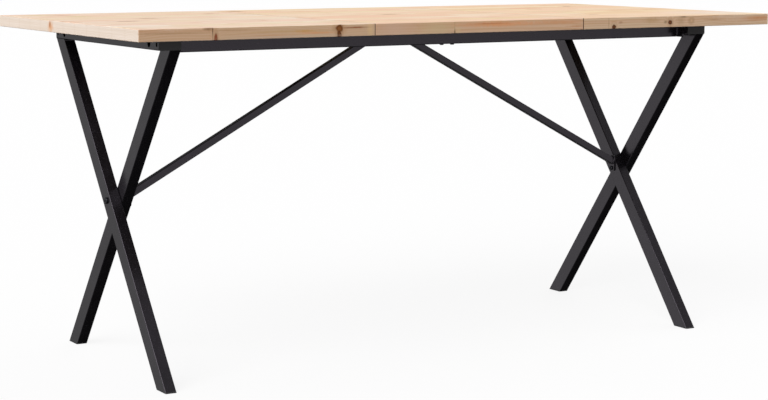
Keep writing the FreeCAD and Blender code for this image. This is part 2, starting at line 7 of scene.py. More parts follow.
import bpy
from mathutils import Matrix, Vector


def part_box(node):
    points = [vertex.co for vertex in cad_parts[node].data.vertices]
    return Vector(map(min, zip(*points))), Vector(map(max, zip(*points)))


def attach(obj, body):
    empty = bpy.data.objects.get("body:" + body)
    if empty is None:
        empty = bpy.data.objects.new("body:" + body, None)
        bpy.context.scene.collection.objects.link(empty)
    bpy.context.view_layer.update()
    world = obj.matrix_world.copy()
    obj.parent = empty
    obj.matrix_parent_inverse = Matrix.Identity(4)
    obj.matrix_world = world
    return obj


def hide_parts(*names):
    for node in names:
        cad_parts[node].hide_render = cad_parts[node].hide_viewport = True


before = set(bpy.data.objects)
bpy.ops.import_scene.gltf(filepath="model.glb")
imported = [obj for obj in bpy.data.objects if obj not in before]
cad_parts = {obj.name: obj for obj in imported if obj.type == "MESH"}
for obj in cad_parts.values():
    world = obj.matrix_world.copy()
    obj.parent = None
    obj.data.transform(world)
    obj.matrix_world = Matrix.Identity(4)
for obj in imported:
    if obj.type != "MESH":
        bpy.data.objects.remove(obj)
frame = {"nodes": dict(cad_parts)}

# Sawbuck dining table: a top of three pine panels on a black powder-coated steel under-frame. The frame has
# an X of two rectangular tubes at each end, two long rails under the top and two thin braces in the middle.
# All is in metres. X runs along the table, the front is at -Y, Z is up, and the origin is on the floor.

LOG = logging.getLogger("sawbuck_table")
MM = 0.001
TOP_LENGTH = 1.6
TOP_HALF_WIDTH = 0.4
ALONG = Vector((1.0, 0.0, 0.0))
ACROSS = Vector((0.0, 1.0, 0.0))
UP = Vector((0.0, 0.0, 1.0))

Socket = bpy.types.NodeSocket
SocketValue = Union[Socket, float, Sequence[float]]


# ---------------- nodes


def linear(code: str) -> tuple[float, float, float, float]:
    """Turn an sRGB hex colour into linear RGBA.

    Args:
        code: a colour such as "#EFD8BC".

    Returns:
        Linear red, green and blue, and an alpha of 1.
    """
    channels = [int(code[start:start + 2], 16) / 255 for start in (1, 3, 5)]
    bent = [value / 12.92 if value <= 0.04045 else ((value + 0.055) / 1.055) ** 2.4 for value in channels]
    return (*bent, 1.0)


class NodeSheet:
    """A node tree while it is being filled, and the coordinates that its patterns follow."""

    def __init__(self, tree: bpy.types.NodeTree, coordinates: str = "Object") -> None:
        """Empty the tree and start it from one kind of coordinates.

        Args:
            tree: the node tree to fill.
            coordinates: the output of Texture Coordinate that the patterns follow.
        """
        self.tree = tree
        self.tree.nodes.clear()
        self.place = self.add("TexCoord")[coordinates]

    def add(
        self,
        kind: str,
        inputs: Union[Sequence[SocketValue], dict[Union[str, int], SocketValue]] = (),
        **settings: object,
    ) -> bpy.types.bpy_prop_collection:
        """Add one node with its settings, values and links.

        A Mix node's share is its input 0, its numbers are 2 and 3, and its colours are 6 and 7. A number
        leaves it at 0 and a colour at 2. A MapRange node has its value first, then the two ends that it comes
        from and the two ends that it goes to.

        Args:
            kind: the node's type without the "ShaderNode" in front.
            inputs: a value for each input, or the output that feeds it, in order or by name or number.
            settings: properties of the node itself, such as operation="ADD".

        Returns:
            The node's outputs.
        """
        node = self.tree.nodes.new("ShaderNode" + kind)
        for name, value in settings.items():
            setattr(node, name, value)
        for name, value in inputs.items() if isinstance(inputs, dict) else enumerate(inputs):
            if isinstance(value, Socket):
                self.tree.links.new(value, node.inputs[name])
            else:
                node.inputs[name].default_value = value
        return node.outputs

    def grain(self, per_m: Sequence[float], detail: float, start: SocketValue = (0.0, 0.0, 0.0)) -> Socket:
        """Draw the streaks or lines of wood grain.

        Args:
            per_m: how many of them there are in a metre along each axis.
            detail: how fine they get.
            start: where in its noise the pattern starts.

        Returns:
            The grain, between 0 and 1.
        """
        stretched = self.add("VectorMath", [self.place, per_m, start], operation="MULTIPLY_ADD")[0]
        return self.add("TexNoise", {"Vector": stretched, "Scale": 1.0, "Detail": detail})[0]

    def finish(self, height: Socket, depth_mm: float, **values: SocketValue) -> None:
        """End a material with one Principled shader under a bump.

        Args:
            height: the height of the bump, between 0 and 1.
            depth_mm: how deep the bump is.
            values: the shader's sockets by name, with _ in place of a space.
        """
        bump = self.add("Bump", {"Strength": 1.0, "Distance": depth_mm * MM, "Height": height})[0]
        sockets = {name.replace("_", " "): value for name, value in values.items()}
        shader = self.add("BsdfPrincipled", {**sockets, "Normal": bump})[0]
        self.add("OutputMaterial", [shader])


def new_material(name: str) -> tuple[bpy.types.Material, NodeSheet]:
    """Start a material.

    Args:
        name: the material's name.

    Returns:
        The empty material, and the sheet that fills it.
    """
    material = bpy.data.materials.new(name)
    material.use_nodes = True
    return material, NodeSheet(material.node_tree)


# ---------------- finishes


@dataclass(frozen=True)
class PowderCoat:
    """Polyester powder baked on steel tube."""

    # A satin, nearly black skin with a fine orange peel: flat faces keep a soft grey sheen with pin-prick
    # flecks in it, and faces that turn to the floor go almost black.
    name: str = "polyester_powder_coat_black_satin"
    body: str = "#121013"
    fleck: str = "#3E3B41"
    worn: str = "#1C1A1E"
    sheen_tint: str = "#FAEFFF"
    roughness: float = 0.21
    rough_spread: float = 0.10
    ior: float = 1.45
    # Real peel is about 0.8 mm across. It is drawn at 2.4 mm, or it would vanish between two pixels.
    peel_mm: float = 2.4
    peel_depth_mm: float = 0.035
    patch_mm: float = 60.0
    worn_range: tuple[float, float] = (0.45, 0.75)
    fleck_range: tuple[float, float] = (0.6, 0.8)

    def make(self) -> bpy.types.Material:
        """Make the material.

        Returns:
            The finished material.
        """
        material, sheet = new_material(self.name)
        peel = sheet.add("TexNoise", {"Vector": sheet.place, "Scale": 1 / (self.peel_mm * MM),
                                      "Detail": 2.0})[0]
        patch = sheet.add("TexNoise", {"Vector": sheet.place, "Scale": 1 / (self.patch_mm * MM),
                                       "Detail": 4.0, "Roughness": 0.6})[0]
        rubbed = sheet.add("MapRange", [patch, *self.worn_range])[0]
        pricked = sheet.add("MapRange", [peel, *self.fleck_range])[0]
        colour = sheet.add("Mix", {0: rubbed, 6: linear(self.body), 7: linear(self.worn)},
                           data_type="RGBA")[2]
        colour = sheet.add("Mix", {0: pricked, 6: colour, 7: linear(self.fleck)}, data_type="RGBA")[2]
        low = self.roughness - self.rough_spread / 2
        rough = sheet.add("Math", [peel, self.rough_spread, low], operation="MULTIPLY_ADD")[0]
        sheet.finish(peel, self.peel_depth_mm, Base_Color=colour, Roughness=rough, IOR=self.ior,
                     Specular_Tint=linear(self.sheen_tint))
        return material


@dataclass(frozen=True)
class MouldedPlastic:
    """Injection-moulded polyethylene of the end and foot caps."""

    # A spark-eroded mould leaves a fine matt grit: softer and a shade greyer than the coated steel beside it,
    # with paler scuffs where feet and floor meet.
    name: str = "polyethylene_moulded_black_matt"
    body: str = "#1B1A1D"
    scuffed: str = "#2D2C2F"
    roughness: float = 0.52
    rough_spread: float = 0.12
    ior: float = 1.5
    grit_mm: float = 0.5
    grit_depth_mm: float = 0.02
    scuff_mm: float = 9.0
    scuff_range: tuple[float, float] = (0.5, 0.8)

    def make(self) -> bpy.types.Material:
        """Make the material.

        Returns:
            The finished material.
        """
        material, sheet = new_material(self.name)
        grit = sheet.add("TexNoise", {"Vector": sheet.place, "Scale": 1 / (self.grit_mm * MM),
                                      "Detail": 1.0})[0]
        scuff = sheet.add("TexNoise", {"Vector": sheet.place, "Scale": 1 / (self.scuff_mm * MM),
                                       "Detail": 5.0, "Roughness": 0.7})[0]
        share = sheet.add("MapRange", [scuff, *self.scuff_range])[0]
        colour = sheet.add("Mix", {0: share, 6: linear(self.body), 7: linear(self.scuffed)},
                           data_type="RGBA")[2]
        low = self.roughness - self.rough_spread / 2
        rough = sheet.add("Math", [scuff, self.rough_spread, low], operation="MULTIPLY_ADD")[0]
        sheet.finish(grit, self.grit_depth_mm, Base_Color=colour, Roughness=rough, IOR=self.ior)
        return material


@dataclass(frozen=True)
class PlatedSteel:
    """Pressed or turned steel under a thin plating or oxide."""

    # Metal with a soft sheen and a cloudy, slightly uneven tone, over a fine grain left by the tool.
    name: str
    bright: str
    dull: str
    roughness: float
    cloud_mm: float = 5.0
    rough_spread: float = 0.16
    grain_mm: float = 0.35
    grain_depth_mm: float = 0.008
    dull_range: tuple[float, float] = (0.3, 0.7)

    def make(self) -> bpy.types.Material:
        """Make the material.

        Returns:
            The finished material.
        """
        material, sheet = new_material(self.name)
        cloud = sheet.add("TexNoise", {"Vector": sheet.place, "Scale": 1 / (self.cloud_mm * MM),
                                       "Detail": 4.0, "Roughness": 0.65})[0]
        grain = sheet.add("TexNoise", {"Vector": sheet.place, "Scale": 1 / (self.grain_mm * MM),
                                       "Detail": 2.0})[0]
        share = sheet.add("MapRange", [cloud, *self.dull_range])[0]
        colour = sheet.add("Mix", {0: share, 6: linear(self.bright), 7: linear(self.dull)},
                           data_type="RGBA")[2]
        low = self.roughness - self.rough_spread / 2
        rough = sheet.add("Math", [cloud, self.rough_spread, low], operation="MULTIPLY_ADD")[0]
        sheet.finish(grain, self.grain_depth_mm, Base_Color=colour, Roughness=rough, Metallic=1.0)
        return material


@dataclass(frozen=True)
class TurnedBeech:
    """Plain beech turned to a dowel."""

    # Even, slightly pink wood with the short dark flecks of beech.
    name: str = "beech_turned_plain"
    pale: str = "#D9B48C"
    pink: str = "#C99E74"
    fleck: str = "#9E6F48"
    # Flecks are about 8 mm long and 0.7 mm wide, and the tone drifts every 50 mm along and 6 mm across.
    flecks_per_m: tuple[float, float, float] = (120.0, 1400.0, 1400.0)
    tones_per_m: tuple[float, float, float] = (20.0, 160.0, 160.0)
    pink_range: tuple[float, float] = (0.3, 0.7)
    fleck_range: tuple[float, float] = (0.6, 0.8)
    fleck_share: float = 0.5
    fleck_depth_mm: float = 0.03
    roughness: float = 0.6
    ior: float = 1.45

    def make(self) -> bpy.types.Material:
        """Make the material.

        Returns:
            The finished material.
        """
        material, sheet = new_material(self.name)
        flecks = sheet.grain(self.flecks_per_m, 3.0)
        tone = sheet.grain(self.tones_per_m, 2.0)
        share = sheet.add("MapRange", [tone, *self.pink_range])[0]
        colour = sheet.add("Mix", {0: share, 6: linear(self.pale), 7: linear(self.pink)}, data_type="RGBA")[2]
        share = sheet.add("MapRange", [flecks, *self.fleck_range, 0.0, self.fleck_share])[0]
        colour = sheet.add("Mix", {0: share, 6: colour, 7: linear(self.fleck)}, data_type="RGBA")[2]
        sheet.finish(flecks, self.fleck_depth_mm, Base_Color=colour, Roughness=self.roughness, IOR=self.ior)
        return material


@dataclass(frozen=True)
class WoodMark:
    """A mark in the pine: its middle, its reach along each axis, its colour and how much it covers."""

    middle: tuple[float, float, float]
    reach: tuple[float, float, float]
    tint: str
    strength: float


class Knot(WoodMark):
    """A knot, with a heart, a halo and rings that bend round it."""


class Streak(WoodMark):
    """A streak or a patch of another colour."""


@dataclass(frozen=True)
class EdgeGluedPine:
    """Pine staves glued edge to edge, sanded and sealed matt."""

    # Cream earlywood with thin honey latewood lines that run along the table and bend round the knots. Each
    # stave has its own tone, from pinkish to straw, with peach streaks. Sawn ends are paler and show the
    # rings as arcs, and each panel's long edges have a tint of their own.
    name: str
    seed: float
    front_joint: float
    cream: str
    pink: str
    honey: str
    edge_tint: str
    butt_strength: float
    marks: tuple[WoodMark, ...] = ()
    peach: str = "#F0C2A0"
    latewood: str = "#D9A676"
    end_face: str = "#FEF0E3"
    end_line: str = "#EBD5BE"
    heart: str = "#AE7647"
    glue_line: str = "#CBA781"
    butt_joint: str = "#8A6444"
    panel_seam: str = "#4A3020"
    fibre_tint: str = "#C9A078"
    half_width: float = TOP_HALF_WIDTH
    seam_x: float = TOP_LENGTH / 6
    stave_width: float = 0.0667
    stave_length: float = 0.56
    pith_top: float = 0.715
    pith_spread: float = 0.06
    # Rings of planted pine are 3 to 6 mm wide.
    ring_mm: float = 4.6
    sway_mm: float = 34.0
    # The rings sway every 400 mm along a stave and 110 mm across it, and each stave starts elsewhere.
    sways_per_m: tuple[float, float, float] = (2.6, 9.0, 9.0)
    stave_shift: tuple[float, float, float] = (40.0, 0.0, 0.0)
    # Parts of a ring: where the latewood starts, and where it is darkest before the next ring.
    latewood_from: float = 0.35
    latewood_peak: float = 0.92
    ring_share: tuple[float, float] = (0.25, 0.6)
    glue_mm: float = 0.5
    butt_mm: float = 0.9
    seam_mm: float = 1.1
    line_edge: tuple[float, float] = (0.6, 1.2)
    glue_strength: float = 0.5
    # Fibres are about 70 mm long and 1.4 mm wide.
    fibres_per_m: tuple[float, float, float] = (14.0, 700.0, 700.0)
    fibre_share: float = 0.14
    fibre_depth_mm: float = 0.03
    # Sawn ends show lines about 3 mm apart.
    end_lines_per_m: tuple[float, float, float] = (1.0, 5.0, 330.0)
    end_line_range: tuple[float, float] = (0.4, 0.8)
    end_line_share: float = 0.5
    end_ring_share: float = 0.3
    # A face is a long edge or an end where its normal has at least this much of Y or X.
    facing: float = 0.8
    # The edges of marks are ragged: they wander by a part of their own reach every few millimetres.
    ragged_mm: float = 6.0
    raggedness: float = 0.4
    # Where a mark begins to fade and where it is gone, in parts of its own reach.
    knot_edge: tuple[float, float] = (0.75, 1.15)
    streak_edge: tuple[float, float] = (0.2, 1.2)
    halo_edge: tuple[float, float] = (0.9, 2.3)
    heart_edge: tuple[float, float] = (0.0, 0.7)
    push_edge: tuple[float, float] = (0.6, 3.2)
    halo_share: float = 0.35
    heart_share: float = 0.55
    least_push: float = 4 * MM
    roughness: float = 0.64
    ring_polish: float = 0.08
    ior: float = 1.45
    # The matt sealer hardly mirrors.
    specular: float = 0.08
    # Keeps the tone of a stave apart from the draw that slides it.
    draw_seed: float = 3.7

    def make(self) -> bpy.types.Material:
        """Make the material.

        Returns:
            The finished material.
        """
        material, sheet = new_material(self.name)
        x, y, _ = sheet.add("SeparateXYZ", [sheet.place])
        from_front = sheet.add("Math", [y, self.half_width], operation="ADD")[0]
        rows = sheet.add("Math", [from_front, self.stave_width], operation="DIVIDE")[0]
        row = sheet.add("Math", [rows], operation="FLOOR")[0]
        slide = sheet.add("CombineXYZ", [row, self.seed, 0.0])[0]
        slide = sheet.add("TexWhiteNoise", {"Vector": slide}, noise_dimensions="3D")["Value"]
        # The front row keeps the joint where it is named, and the rows behind it slide by chance.
        behind = sheet.add("Math", [row, 0.5], operation="GREATER_THAN")[0]
        slide = sheet.add("Math", [slide, behind], operation="MULTIPLY")[0]
        along = sheet.add("Math", [x, self.front_joint], operation="SUBTRACT")[0]
        along = sheet.add("Math", [along, self.stave_length], operation="DIVIDE")[0]
        along = sheet.add("Math", [along, slide], operation="SUBTRACT")[0]
        stave = sheet.add("Math", [along], operation="FLOOR")[0]
        own = sheet.add("CombineXYZ", [row, stave, self.seed + self.draw_seed])[0]
        own = sheet.add("TexWhiteNoise", {"Vector": own}, noise_dimensions="3D")["Color"]
        layers, bend = self.lay_marks(sheet)
        ring = self.rings(sheet, row, own, bend)
        colour = self.tones(sheet, own, ring)
        colour = self.faces(sheet, colour, ring)
        colour = self.joints(sheet, colour, x, rows, along)
        for share, tint in layers:
            colour = sheet.add("Mix", {0: share, 6: colour, 7: tint}, data_type="RGBA")[2]
        fibre = sheet.grain(self.fibres_per_m, 3.0)
        shade = sheet.add("Mix", {0: fibre, 6: linear(self.fibre_tint), 7: linear("#FFFFFF")},
                          data_type="RGBA")[2]
        colour = sheet.add("Mix", {0: self.fibre_share, 6: colour, 7: shade}, data_type="RGBA",
                           blend_type="MULTIPLY")[2]
        rough = sheet.add("Math", [ring, -self.ring_polish, self.roughness], operation="MULTIPLY_ADD")[0]
        height = sheet.add("Math", [fibre, ring], operation="ADD")[0]
        height = sheet.add("Math", [height, 0.5], operation="MULTIPLY")[0]
        sheet.finish(height, self.fibre_depth_mm, Base_Color=colour, Roughness=rough, IOR=self.ior,
                     Specular_IOR_Level=self.specular)
        return material

    def lay_marks(self, sheet: NodeSheet) -> tuple[list[tuple[Socket, SocketValue]], SocketValue]:
        """Place the knots and streaks.

        Args:
            sheet: the material's nodes.

        Returns:
            The layers, each a share and a colour, and how far the rings are pushed aside, in metres.
        """
        ragged = sheet.add("TexNoise", {"Vector": sheet.place, "Scale": 1 / (self.ragged_mm * MM),
                                        "Detail": 2.0})[0]
        ragged = sheet.add("MapRange", [ragged, 0.0, 1.0, -self.raggedness, self.raggedness])[0]
        bend: SocketValue = 0.0
        layers = []
        for mark in self.marks:
            away = sheet.add("VectorMath", [sheet.place, mark.middle], operation="SUBTRACT")[0]
            away = sheet.add("VectorMath", [away, mark.reach], operation="DIVIDE")[0]
            away = sheet.add("VectorMath", [away], operation="LENGTH")["Value"]
            away = sheet.add("Math", [away, ragged], operation="ADD")[0]
            knot = isinstance(mark, Knot)
            edge = self.knot_edge if knot else self.streak_edge
            share = sheet.add("MapRange", [away, *edge, mark.strength, 0.0])[0]
            tint: SocketValue = linear(mark.tint)
            if knot:
                dark = self.halo_share * mark.strength
                halo = sheet.add("MapRange", [away, *self.halo_edge, dark, 0.0])[0]
                layers.append((halo, linear(self.heart)))
                inner = sheet.add("MapRange", [away, *self.heart_edge, self.heart_share, 0.0])[0]
                tint = sheet.add("Mix", {0: inner, 6: tint, 7: linear(self.heart)}, data_type="RGBA")[2]
                most = max(mark.reach[1], self.least_push)
                push = sheet.add("MapRange", [away, *self.push_edge, most, 0.0],
                                 interpolation_type="SMOOTHSTEP")[0]
                bend = sheet.add("Math", [bend, push], operation="ADD")[0]
            layers.append((share, tint))
        return layers, bend

    def rings(self, sheet: NodeSheet, row: Socket, own: Socket, bend: SocketValue) -> Socket:
        """Draw the growth rings: 0 in earlywood and 1 at the hard dark edge of each ring.

        Args:
            sheet: the material's nodes.
            row: the stave's row across the table.
            own: the stave's own random numbers.
            bend: how far knots push the rings aside, in metres.

        Returns:
            The strength of the latewood line.
        """
        draw_y, draw_z, _ = sheet.add("SeparateXYZ", [own])
        middle = sheet.add("Math", [row, draw_y], operation="ADD")[0]
        middle = sheet.add("Math", [middle, self.stave_width, -self.half_width], operation="MULTIPLY_ADD")[0]
        low = sheet.add("Math", [draw_z, -self.pith_spread, self.pith_top], operation="MULTIPLY_ADD")[0]
        pith = sheet.add("CombineXYZ", [0.0, middle, low])[0]
        radius = sheet.add("VectorMath", [sheet.place, pith], operation="SUBTRACT")[0]
        radius = sheet.add("VectorMath", [radius, (0.0, 1.0, 1.0)], operation="MULTIPLY")[0]
        radius = sheet.add("VectorMath", [radius], operation="LENGTH")["Value"]
        apart = sheet.add("VectorMath", [own, self.stave_shift], operation="MULTIPLY")[0]
        sway = sheet.grain(self.sways_per_m, 2.0, apart)
        radius = sheet.add("Math", [sway, self.sway_mm * MM, radius], operation="MULTIPLY_ADD")[0]
        radius = sheet.add("Math", [radius, bend], operation="ADD")[0]
        phase = sheet.add("Math", [radius, self.ring_mm * MM], operation="DIVIDE")[0]
        phase = sheet.add("Math", [phase], operation="FRACT")[0]
        rise = sheet.add("MapRange", [phase, self.latewood_from, self.latewood_peak],
                         interpolation_type="SMOOTHSTEP")[0]
        fall = sheet.add("MapRange", [phase, self.latewood_peak, 1.0, 1.0, 0.0],
                         interpolation_type="SMOOTHSTEP")[0]
        return sheet.add("Math", [rise, fall], operation="MULTIPLY")[0]

    def tones(self, sheet: NodeSheet, own: Socket, ring: Socket) -> Socket:
        """Colour the wood: each stave's own tone, drifting patches, peach streaks and ring lines.

        Args:
            sheet: the material's nodes.
            own: the stave's own random numbers.
            ring: the strength of the latewood line.

        Returns:
            The wood's colour.
        """
        draws = sheet.add("SeparateXYZ", [own])
        colour: SocketValue = linear(self.cream)
        # Each tone: a draw of the stave, or how many patches there are in a metre along each axis; the values
        # between which it comes in; the most that it covers; and its colour.
        for value, low, high, most, tint in (
            (draws[0], 0.1, 0.9, 0.7, self.pink),
            (draws[1], 0.35, 1.0, 0.7, self.honey),
            ((1.4, 15.0, 15.0), 0.48, 0.66, 0.70, self.pink),
            ((1.9, 24.0, 24.0), 0.50, 0.66, 0.70, self.honey),
            ((1.2, 62.0, 62.0), 0.54, 0.70, 0.55, self.peach),
            ((3.0, 150.0, 150.0), 0.54, 0.74, 0.35, self.latewood),
        ):
            if isinstance(value, tuple):
                value = sheet.grain(value, 3.0, own)
            share = sheet.add("MapRange", [value, low, high, 0.0, most], interpolation_type="SMOOTHSTEP")[0]
            colour = sheet.add("Mix", {0: share, 6: colour, 7: linear(tint)}, data_type="RGBA")[2]
        strength = sheet.add("MapRange", [draws[2], 0.0, 1.0, *self.ring_share])[0]
        strength = sheet.add("Math", [strength, ring], operation="MULTIPLY")[0]
        return sheet.add("Mix", {0: strength, 6: colour, 7: linear(self.latewood)}, data_type="RGBA")[2]

    def faces(self, sheet: NodeSheet, colour: Socket, ring: Socket) -> Socket:
        """Make the long edges a shade warmer and the sawn ends paler.

        Args:
            sheet: the material's nodes.
            colour: the wood's colour so far.
            ring: the strength of the latewood line.

        Returns:
            The colour with its edges and ends.
        """
        normal = sheet.add("NewGeometry")["True Normal"]
        normal = sheet.add("VectorMath", [normal], operation="ABSOLUTE")[0]
        end_share, edge_share, _ = sheet.add("SeparateXYZ", [normal])
        warm = sheet.add("Mix", {0: 1.0, 6: colour, 7: linear(self.edge_tint)}, data_type="RGBA",
                         blend_type="MULTIPLY")[2]
        edge_share = sheet.add("Math", [edge_share, self.facing], operation="GREATER_THAN")[0]
        colour = sheet.add("Mix", {0: edge_share, 6: colour, 7: warm}, data_type="RGBA")[2]
        line = sheet.grain(self.end_lines_per_m, 3.0)
        line = sheet.add("MapRange", [line, *self.end_line_range, 0.0, self.end_line_share])[0]
        line = sheet.add("Math", [ring, self.end_ring_share, line], operation="MULTIPLY_ADD")[0]
        end = sheet.add("Mix", {0: line, 6: linear(self.end_face), 7: linear(self.end_line)},
                        data_type="RGBA")[2]
        end_share = sheet.add("Math", [end_share, self.facing], operation="GREATER_THAN")[0]
        return sheet.add("Mix", {0: end_share, 6: colour, 7: end}, data_type="RGBA")[2]

    def joints(self, sheet: NodeSheet, colour: Socket, x: Socket, rows: Socket, along: Socket) -> Socket:
        """Draw in glue lines, butt joints and the dark seams between panels.

        Args:
            sheet: the material's nodes.
            colour: the wood's colour so far.
            x: where the place is along the table.
            rows: how many staves lie in front of it.
            along: how many staves lie to its left.

        Returns:
            The colour with the joints drawn in.
        """
        seam = sheet.add("Math", [x], operation="ABSOLUTE")[0]
        seam = sheet.add("Math", [seam, self.seam_x], operation="SUBTRACT")[0]
        seam = sheet.add("Math", [seam], operation="ABSOLUTE")[0]
        glue = self.fold(sheet, rows)
        butt = self.fold(sheet, along)
        for away, width, most, tint in (
            (glue, self.glue_mm * MM / self.stave_width, self.glue_strength, self.glue_line),
            (butt, self.butt_mm * MM / self.stave_length, self.butt_strength, self.butt_joint),
            (seam, self.seam_mm * MM, 1.0, self.panel_seam),
        ):
            edge = [part * width for part in self.line_edge]
            share = sheet.add("MapRange", [away, *edge, most, 0.0])[0]
            colour = sheet.add("Mix", {0: share, 6: colour, 7: linear(tint)}, data_type="RGBA")[2]
        return colour

    @staticmethod
    def fold(sheet: NodeSheet, count: Socket) -> Socket:
        """Measure how far a running count is from its nearest whole number.

        Args:
            sheet: the material's nodes.
            count: the running count.

        Returns:
            The distance, at most a half.
        """
        whole = sheet.add("Math", [count], operation="ROUND")[0]
        off = sheet.add("Math", [count, whole], operation="SUBTRACT")[0]
        return sheet.add("Math", [off], operation="ABSOLUTE")[0]


class Finish(Enum):
    """The finishes of all but the panels."""

    POWDER_COAT = PowderCoat()
    PLASTIC = MouldedPlastic()
    ZINC_PLATE = PlatedSteel("steel_zinc_plated_pressed", "#C3C5C7", "#9EA0A3", 0.36)
    OXIDE = PlatedSteel("steel_black_oxide_turned", "#3A3A3E", "#242427", 0.42, cloud_mm=3.0)
    DOWEL = TurnedBeech()


AnyFinish = Union[Finish, EdgeGluedPine]


class Paint:
    """Makes each finish once and puts it on objects."""

    def __init__(self, nodes: dict[str, bpy.types.Object]) -> None:
        """Keep the table's CAD nodes by name."""
        self.nodes = nodes
        self.made: dict[str, bpy.types.Material] = {}

    def coat(self, piece: bpy.types.Object, finish: AnyFinish) -> None:
        """Give the whole of a piece one finish and report it.

        Args:
            piece: the piece.
            finish: what it is finished in.
        """
        kind = finish.value if isinstance(finish, Finish) else finish
        if kind.name not in self.made:
            self.made[kind.name] = kind.make()
        piece.data.materials.clear()
        piece.data.materials.append(self.made[kind.name])
        LOG.info("%s: %s", piece.name, kind.name)

    def dress(self, names: Sequence[str], finish: AnyFinish) -> None:
        """Give CAD nodes one finish."""
        for name in names:
            self.coat(self.nodes[name], finish)


# ---------------- modelling


def deselect() -> None:
    """Leave nothing selected."""
    bpy.ops.object.select_all(action="DESELECT")


def settle(piece: bpy.types.Object) -> None:
    """Move a piece's place into its mesh, so that its object sits at the origin.

    Args:
        piece: the piece.
    """
    deselect()
    piece.select_set(True)
    bpy.context.view_layer.objects.active = piece
    bpy.ops.object.transform_apply(location=True, rotation=True, scale=True)


def join_pieces(name: str, pieces: Sequence[bpy.types.Object]) -> bpy.types.Object:
    """Join meshes into one piece.

    Args:
        name: the piece's name.
        pieces: the meshes. The first takes in the others.

    Returns:
        The piece.
    """
    deselect()
    for piece in pieces:
        piece.select_set(True)
    bpy.context.view_layer.objects.active = pieces[0]
    bpy.ops.object.join()
    pieces[0].name = name
    pieces[0].data.name = name
    return pieces[0]


@dataclass
class WeldBead:
    """A run of overlapping weld ripples, as a welder lays them along an inside corner."""

    radius: float = 2.3 * MM
    pitch: float = 1.5 * MM
    flatness: float = 0.8
    voxel: float = 0.45 * MM
    segments: int = 14
    rings: int = 8

    def model(self, length: float) -> bpy.types.Object:
        """Model one bead along X, from the origin.

        Args:
            length: how long the bead is.

        Returns:
            The bead, to be copied.
        """
        run = length - 2 * self.radius
        count = max(2, round(run / self.pitch) + 1)
        deselect()
        bpy.ops.mesh.primitive_uv_sphere_add(
            segments=self.segments, ring_count=self.rings, radius=self.radius)
        bead = bpy.context.active_object
        bead.scale = (self.flatness, 1.0, 1.0)
        bead.location = (self.radius, 0.0, 0.0)
        settle(bead)
        row = bead.modifiers.new("ripples", "ARRAY")
        row.count = count
        row.use_relative_offset = False
        row.use_constant_offset = True
        row.constant_offset_displace = (run / (count - 1), 0.0, 0.0)
        skin = bead.modifiers.new("skin", "REMESH")
        skin.mode = "VOXEL"
        skin.voxel_size = self.voxel
        for modifier in (row, skin):
            bpy.ops.object.modifier_apply(modifier=modifier.name)
        bpy.ops.object.shade_smooth()
        return bead

    def lay(
        self, name: str, length: float, places: Sequence[tuple[Vector, Vector]], paint: Paint
    ) -> bpy.types.Object:
        """Model one bead, lay a copy of it at every place and coat them as one piece.

        Args:
            name: the piece's name.
            length: how long each bead is.
            places: where each bead begins, and its direction.
            paint: the finishes.

        Returns:
            The piece, which rides on the table.
        """
        pattern = self.model(length)
        beads = []
        for start, towards in places:
            bead = pattern.copy()
            bead.data = pattern.data.copy()
            bpy.context.scene.collection.objects.link(bead)
            bead.rotation_mode = "QUATERNION"
            bead.rotation_quaternion = towards.to_track_quat("X", "Z")
            bead.location = start
            settle(bead)
            beads.append(bead)
        bpy.data.objects.remove(pattern)
        piece = join_pieces(name, beads)
        paint.coat(piece, Finish.POWDER_COAT)
        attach(piece, "root")
        return piece


# ---------------- sub-assemblies


